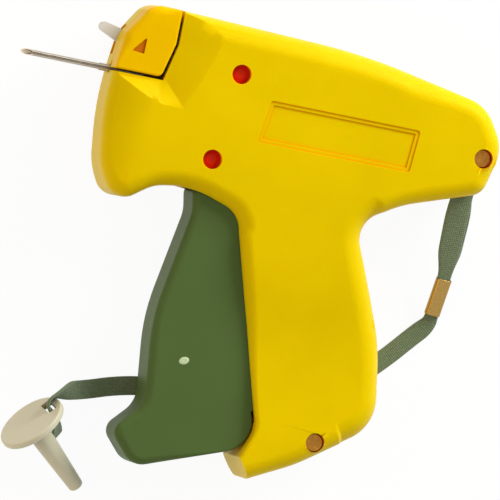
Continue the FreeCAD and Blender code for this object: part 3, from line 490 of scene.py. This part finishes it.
# the wrist strap, in the drawing's millimetres; its widths are shares of its own, and these and its turns,
# in degrees, are given by the way from its top end
strap = {
    "width": 6.4,
    "thickness": 1.15,
    "routeTop": [
        (67.4, 38, 1.85),
        (67.4, 33.8, 1.85),
        (67.1, 27.2, 0.6),
        (67.8, 14.8, -3.6),
        (69, 3.2, -7.25),
    ],
    "routeLoop": [
        (68.1, -9.3, -11.6),
        (67.85, -12.74, -12.62),
        (63.2, -18, -13.6),
        (56.5, -26, -14.15),
        (47.5, -35, -14.2),
        (35, -42.2, -14.2),
        (21, -46.6, -14.2),
        (6, -49, -14.2),
        (-9.5, -50.2, -14.2),
        (-25, -51.6, -14.1),
        (-34.5, -53.6, -13),
        (-43, -56.2, -9.6),
        (-52.56, -58.19, -3.24),
        (-57.62, -63.1, -2.45),
        (-52.3, -67.7, -4.8),
        (-50.4, -73, -7.9),
    ],
    # the under layer goes round the anchor bar, so its line starts on top of the bar
    "routeBow": [(67.4, 38, 1.85), (67.4, 40.2, 1.85), (67.4, 40.2, -1.85)],
    "routeTail": [
        (67.4, 38, -1.85),
        (67.4, 33.8, -1.85),
        (68.3, 27.2, -1.6),
        (68.7, 14.8, -5.1),
        (69, 3.2, -8.55),
    ],
    "widths": [(0, 1.0), (6, 1.16), (14, 1.24), (25, 1.2), (36, 0.72), (49, 0.72), (57, 1.0), (206, 1.0)],
    "turns": [(0, 0), (182, 0), (193, 80), (197, 80), (207, 50)],
    "tailWidths": [(0, 1.0), (12, 1.16), (20.5, 1.24), (31.5, 1.2), (42, 0.72)],
    "tailTurns": [(0, 0), (42, 0)],
    "ringsPerMm": 3,
    "columns": 12,
    "roundness": 0.45,
    "curveOrder": 3,
    "curveSteps": 24,
}


# the line of a NURBS spline with these control points
def routeLine(name, points):
    curve = bpy.data.curves.new(name, "CURVE")
    curve.dimensions = "3D"
    spline = curve.splines.new("NURBS")
    spline.points.add(len(points) - 1)
    for target, point in zip(spline.points, points):
        target.co = (*fromDrawing(point), 1)
    spline.order_u = strap["curveOrder"]
    spline.use_endpoint_u = True
    curve.resolution_u = strap["curveSteps"]
    holder = bpy.data.objects.new(name, curve)
    mesh = bpy.data.meshes.new_from_object(holder)
    line = [vertex.co.copy() for vertex in mesh.vertices]
    bpy.data.objects.remove(holder)
    bpy.data.curves.remove(curve)
    bpy.data.meshes.remove(mesh)
    return line


def lineLength(line):
    return sum((b - a).length for a, b in zip(line, line[1:]))


def evenLine(line, count):
    step = lineLength(line) / (count - 1)
    result, walked, target = [line[0]], 0.0, step
    for a, b in zip(line, line[1:]):
        run = (b - a).length
        while walked + run >= target and len(result) < count - 1:
            result.append(a.lerp(b, (target - walked) / run))
            target += step
        walked += run
    return result + [line[-1]]


# from one stop to the next the value eases in and out
def valueAt(stops, way):
    for (x0, y0), (x1, y1) in zip(stops, stops[1:]):
        if way <= x1:
            share = (way - x0) / (x1 - x0)
            share = share * share * (3 - 2 * share)
            return y0 + (y1 - y0) * share
    return stops[-1][1]


# the points of one ring round the band, each with how far across it lies, from 0 to 1
def bandRing(look, centre, along, turn, widthShare):
    level = along.cross(Vector((0, 0, 1))).normalized()
    rise = level.cross(along)
    side = level * math.cos(turn) + rise * math.sin(turn)
    face = side.cross(along)
    halfWidth = look["width"] / 2000 * widthShare
    halfThick = look["thickness"] / 2000
    around = 2 * look["columns"]
    ring = []
    for k in range(around):
        angle = 2 * math.pi * k / around
        c, s = math.cos(angle), math.sin(angle)
        across = math.copysign(abs(c) ** look["roundness"], c)
        height = math.copysign(abs(s) ** look["roundness"], s)
        ring.append((centre + side * (across * halfWidth) + face * (height * halfThick), (across + 1) / 2))
    return ring


def bandFaces(count, around):
    faces = []
    for i in range(count - 1):
        for k in range(around):
            a, b = i * around + k, i * around + (k + 1) % around
            faces.append((a, b, b + around, a + around))
    faces.append(tuple(reversed(range(around))))
    faces.append(tuple(range((count - 1) * around, count * around)))
    return faces


# a flat band with rounded selvedges along a line; its map's U is the way in metres, V goes across
def bandMesh(name, line, look, widths, turns):
    count = int(lineLength(line) * 1000 * look["ringsPerMm"])
    rings = evenLine(line, count)
    step = lineLength(line) / (count - 1)
    points, marks = [], []
    for i, centre in enumerate(rings):
        along = (rings[min(i + 1, count - 1)] - rings[max(i - 1, 0)]).normalized()
        turn = math.radians(valueAt(turns, i * step * 1000))
        for point, across in bandRing(look, centre, along, turn, valueAt(widths, i * step * 1000)):
            points.append(point)
            marks.append((i * step, across))
    mesh = bpy.data.meshes.new(name)
    mesh.from_pydata(points, [], bandFaces(count, 2 * look["columns"]))
    layer = mesh.uv_layers.new(name="UVMap")
    for loop in mesh.loops:
        layer.data[loop.index].uv = marks[loop.vertex_index]
    piece = newObject(name, mesh)
    makeActive(piece)
    bpy.ops.object.mode_set(mode="EDIT")
    bpy.ops.mesh.select_all(action="SELECT")
    bpy.ops.mesh.normals_make_consistent(inside=False)
    bpy.ops.object.mode_set(mode="OBJECT")
    bpy.ops.object.shade_smooth()
    return piece


def addBand(name, nodeName, line, widths, turns):
    piece = bandMesh(name, line, strap, widths, turns)
    paint(piece, "strap_webbing")
    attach(piece, "housing")
    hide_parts(nodeName)
    return piece


strapLine = routeLine("strapRoute", strap["routeTop"] + strap["routeLoop"])
tailLine = routeLine("tailRoute", strap["routeBow"] + strap["routeTail"])
wristStrap = addBand("wristStrap", "strap", strapLine, strap["widths"], strap["turns"])
strapTail = addBand("strapTail", "strap_tail", tailLine, strap["tailWidths"], strap["tailTurns"])
print("strap", round(lineLength(strapLine), 4), "tail", round(lineLength(tailLine), 4))

hairline = 0.00001  # an inset as thin as this lets the face inside it be pushed straight in
squareOn = 0.99  # a face whose normal goes this far along a direction faces that way


# a flat brass sleeve folded round both layers of the strap, open at its ends
ferrule = {
    "top": (69, 3.2, -7.9),
    "bottom": (68.1, -9.3, -11.6),
    "width": 5.4,
    "height": 3.0,
    "rounding": 1.4,
    "roundSteps": 10,
    "wall": 0.3,
    "mouth": 0.8,
    "edge": 0.1,
    "sharpAngle": 35,
}


def addFerrule(look):
    top, bottom = fromDrawing(look["top"]), fromDrawing(look["bottom"])
    length = (bottom - top).length
    deselectAll()
    bpy.ops.mesh.primitive_cube_add(size=1)
    piece = bpy.context.object
    piece.name = "strapFerrule"

    def isLong(edge):
        first, second = (piece.data.vertices[index].co for index in edge.vertices)
        return abs(second.x - first.x) > length / 2

    bpy.ops.object.mode_set(mode="EDIT")
    bpy.ops.transform.resize(value=(length, look["width"] / 1000, look["height"] / 1000))
    selectWhere(piece, "EDGE", isLong)
    bpy.ops.mesh.bevel(offset=look["rounding"] / 1000, segments=look["roundSteps"], affect="EDGES")
    selectWhere(piece, "FACE", lambda face: abs(face.normal.x) > squareOn)
    bpy.ops.mesh.inset(thickness=look["wall"] / 1000, use_individual=True)
    bpy.ops.mesh.inset(thickness=hairline, depth=-look["mouth"] / 1000, use_individual=True)
    bpy.ops.object.mode_set(mode="OBJECT")
    softenEdges(piece, look["edge"] / 1000, look["sharpAngle"])
    along = (bottom - top).normalized()
    level = along.cross(Vector((0, 0, 1))).normalized()
    turned = Matrix((along, level, along.cross(level))).transposed().to_4x4()
    piece.data.transform(Matrix.Translation((top + bottom) / 2) @ turned)
    paint(piece, "brass")
    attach(piece, "housing")
    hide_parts("strap_ferrule")
    return piece


# the needle cap is closed at its flange and open at its tip; its axis runs from the flange to the tip
cap = {
    "centre": (-59.5, -71.3, -3.8),
    "axis": (0.714, -0.626, -0.312),
    "boreReach": 3.15,
    "wallFacing": 0.3,  # how squarely the bore's wall has to face the axis
    "floorFacing": 0.9,  # and its floor the flange
    "tipReach": 0.2,
    "wall": 0.35,
    "depth": 9,
    "sharpAngle": 35,
}


def addNeedleCap(look):
    centre, axis = fromDrawing(look["centre"]), Vector(look["axis"]).normalized()
    piece = smoothNode("needle_cap", "needleCap", "housing")
    tipRun = max((vertex.co - centre).dot(axis) for vertex in piece.data.vertices)

    # the bore's wall faces the axis, and its floor faces back to the flange
    def isBore(face):
        run = (face.center - centre).dot(axis)
        outward = face.center - centre - axis * run
        isWall = face.normal.dot(outward) < -look["wallFacing"] * outward.length
        isFloor = face.normal.dot(axis) < -look["floorFacing"] and run > 0
        return outward.length < look["boreReach"] / 1000 and (isWall or isFloor)

    def isTip(face):
        run = (face.center - centre).dot(axis)
        return face.normal.dot(axis) > squareOn and run > tipRun - look["tipReach"] / 1000

    makeActive(piece)
    bpy.ops.mesh.customdata_custom_splitnormals_clear()
    bpy.ops.object.mode_set(mode="EDIT")
    selectWhere(piece, "FACE", isBore)
    bpy.ops.mesh.delete(type="FACE")
    bpy.ops.mesh.select_all(action="SELECT")
    bpy.ops.mesh.fill_holes(sides=0)
    selectWhere(piece, "FACE", isTip)
    bpy.ops.mesh.dissolve_faces()
    selectWhere(piece, "FACE", isTip)
    bpy.ops.mesh.inset(thickness=look["wall"] / 1000, use_even_offset=False)
    bpy.ops.mesh.inset(thickness=hairline, depth=-look["depth"] / 1000, use_even_offset=False)
    bpy.ops.object.mode_set(mode="OBJECT")
    shadeRounds(piece, look["sharpAngle"])
    return piece


strapFerrule = addFerrule(ferrule)
needleCap = addNeedleCap(cap)

print("strap done")


smoothed = [
    ("left_housing", "leftShell", "housing"),
    ("right_housing", "rightShell", "housing"),
    ("needle_cover", "coverShell", "needle_cover"),
    ("trigger", "triggerLever", "trigger"),
    ("needle_lock", "lockLever", "needle_lock"),
    ("needle_tube", "needleTube", "housing"),
    ("screw_plugs", "screwPlugs", "housing"),
]
for nodeName, pieceName, body in smoothed:
    smoothNode(nodeName, pieceName, body)
print("shells done")


# the trigger's return spring, which runs from the trigger to the housing's seat; its smoothed copy is
# attached to no body
def addTriggerSpring():
    piece = smoothNode("trigger_spring", "triggerSpring")
    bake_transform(piece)


addTriggerSpring()
print("spring done")


# a pale green low dome with a dimple in its crown, on the trigger's face
paleDome = {
    "place": (-16.7, -40.3),
    "length": 3.6,
    "width": 2.5,
    "height": 0.3,
    "segments": 32,
    "rings": 16,
    "sink": 0.02,
    "turn": 25,
    "dimple": 0.12,
    "crown": 0.93,  # the dimple starts at this share of the height
    "smoothAngle": 40,
}


def addPaleDome(look):
    deselectAll()
    bpy.ops.mesh.primitive_uv_sphere_add(segments=look["segments"], ring_count=look["rings"], radius=0.5)
    piece = bpy.context.object
    piece.name = "paleDome"
    bpy.ops.object.mode_set(mode="EDIT")
    bpy.ops.transform.resize(value=(look["length"] / 1000, look["width"] / 1000, 2 * look["height"] / 1000))
    # its threshold, 0.1 mm unless it is given, also takes in the rows beside the rim: the mark's underside
    # stays open there, and its small faces differ from run to run
    bpy.ops.mesh.bisect(plane_co=(0, 0, 0), plane_no=(0, 0, 1), clear_inner=True, use_fill=True)
    dimpleFrom = look["height"] / 1000 * look["crown"]
    selectWhere(piece, "VERT", lambda vertex: vertex.co.z > dimpleFrom)
    bpy.ops.transform.translate(value=(0, 0, -look["dimple"] / 1000))
    bpy.ops.object.mode_set(mode="OBJECT")
    place = fromDrawing((*look["place"], 0))
    place.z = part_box("trigger")[1][2] - look["sink"] / 1000
    piece.data.transform(Matrix.Translation(place) @ Matrix.Rotation(math.radians(look["turn"]), 4, "Z"))
    bpy.ops.object.shade_smooth_by_angle(angle=math.radians(look["smoothAngle"]))
    paint(piece, "green_plastic", "paleDomeGreen")
    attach(piece, "trigger")


# the arrow mark in the needle cover's recess, filled with an orange-brown inlay that is painted shade for
# the inside of the recess
coverMark = {
    "corners": [(-54.45, 57.25), (-50.45, 57.0), (-50.4, 62.1)],
    "bottom": 9.9,
    "height": 0.35,
    "edge": 0.12,
    "sharpAngle": 30,
}


def addCoverMark(look):
    deselectAll()
    # a triangle of any size, whose corners then go to their places
    bpy.ops.mesh.primitive_circle_add(vertices=len(look["corners"]), radius=0.002, fill_type="NGON")
    piece = bpy.context.object
    piece.name = "coverMark"
    bpy.ops.object.mode_set(mode="EDIT")
    for index, corner in enumerate(look["corners"]):
        target = fromDrawing((*corner, look["bottom"]))
        selectWhere(piece, "VERT", lambda vertex, index=index: vertex.index == index)
        bpy.ops.transform.translate(value=target - piece.data.vertices[index].co)
    bpy.ops.mesh.select_all(action="SELECT")
    bpy.ops.mesh.extrude_region_move(TRANSFORM_OT_translate={"value": (0, 0, look["height"] / 1000)})
    bpy.ops.mesh.select_all(action="SELECT")
    bpy.ops.mesh.normals_make_consistent(inside=False)
    bpy.ops.object.mode_set(mode="OBJECT")
    softenEdges(piece, look["edge"] / 1000, look["sharpAngle"])
    paint(piece, "cover_plastic", "markPaintedShade")
    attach(piece, "needle_cover")


addPaleDome(paleDome)
addCoverMark(coverMark)
print("marks done")


# the table, and a soft light from above and from the gun's tail
studio = {
    "floorSize": 4.0,
    "floorColour": (0.93, 0.93, 0.93),
    "floorRoughness": 0.9,
    "floorGloss": 0.1,
    "shadowShare": 0.06,
    "worldColour": (1.0, 1.0, 1.0),
    "worldStrength": 0.52,
    "lamps": [
        {"name": "key", "place": (0.5, 0.68, 0.4), "size": 0.4, "power": 9.0, "colour": (1.0, 1.0, 1.0)},
        {"name": "fill", "place": (-0.6, -0.15, 0.4), "size": 0.6, "power": 1.5, "colour": (1.0, 0.62, 0.3)},
    ],
}


def seenDirectly(nodes, links):
    path = nodes.new("ShaderNodeLightPath")
    first = addMath(nodes, links, "MAXIMUM", path.outputs["Is Camera Ray"], path.outputs["Is Glossy Ray"])
    return addMath(nodes, links, "MAXIMUM", first, path.outputs["Is Transmission Ray"])


# white where it is seen directly, apart from its share of the gun's shadow
def addFloor(look):
    deselectAll()
    bpy.ops.mesh.primitive_plane_add(size=look["floorSize"], location=(0, 0, 0))
    floor = bpy.context.object
    floor.name = "floor"
    material, nodes, links = newMaterial("floorPaper")
    shader = nodes["Principled BSDF"]
    shader.inputs["Base Color"].default_value = (*look["floorColour"], 1)
    shader.inputs["Roughness"].default_value = look["floorRoughness"]
    shader.inputs["Specular IOR Level"].default_value = look["floorGloss"]
    glow = nodes.new("ShaderNodeEmission")
    mix = nodes.new("ShaderNodeMixShader")
    share = addMath(nodes, links, "MULTIPLY", seenDirectly(nodes, links), 1 - look["shadowShare"])
    links.new(share, mix.inputs["Fac"])
    links.new(shader.outputs["BSDF"], mix.inputs[1])
    links.new(glow.outputs["Emission"], mix.inputs[2])
    links.new(mix.outputs["Shader"], nodes["Material Output"].inputs["Surface"])
    floor.data.materials.append(material)


def addWorld(look):
    world = bpy.data.worlds.new("studioWorld")
    bpy.context.scene.world = world
    world.use_nodes = True
    nodes, links = world.node_tree.nodes, world.node_tree.links
    background = nodes["Background"]
    background.inputs["Color"].default_value = (*look["worldColour"], 1)
    strength = addRange(nodes, links, seenDirectly(nodes, links), look["worldStrength"], 1.0)
    links.new(strength, background.inputs["Strength"])


def addLamps(look):
    for lamp in look["lamps"]:
        data = bpy.data.lights.new(lamp["name"], "AREA")
        data.size = lamp["size"]
        data.energy = lamp["power"]
        data.color = lamp["colour"]
        body = newObject(lamp["name"], data)
        body.location = lamp["place"]
        body.rotation_euler = (Vector((0, 0, 0)) - body.location).to_track_quat("-Z", "Y").to_euler()


addFloor(studio)
addWorld(studio)
addLamps(studio)
bpy.context.scene.view_settings.view_transform = "Standard"
print("studio done")
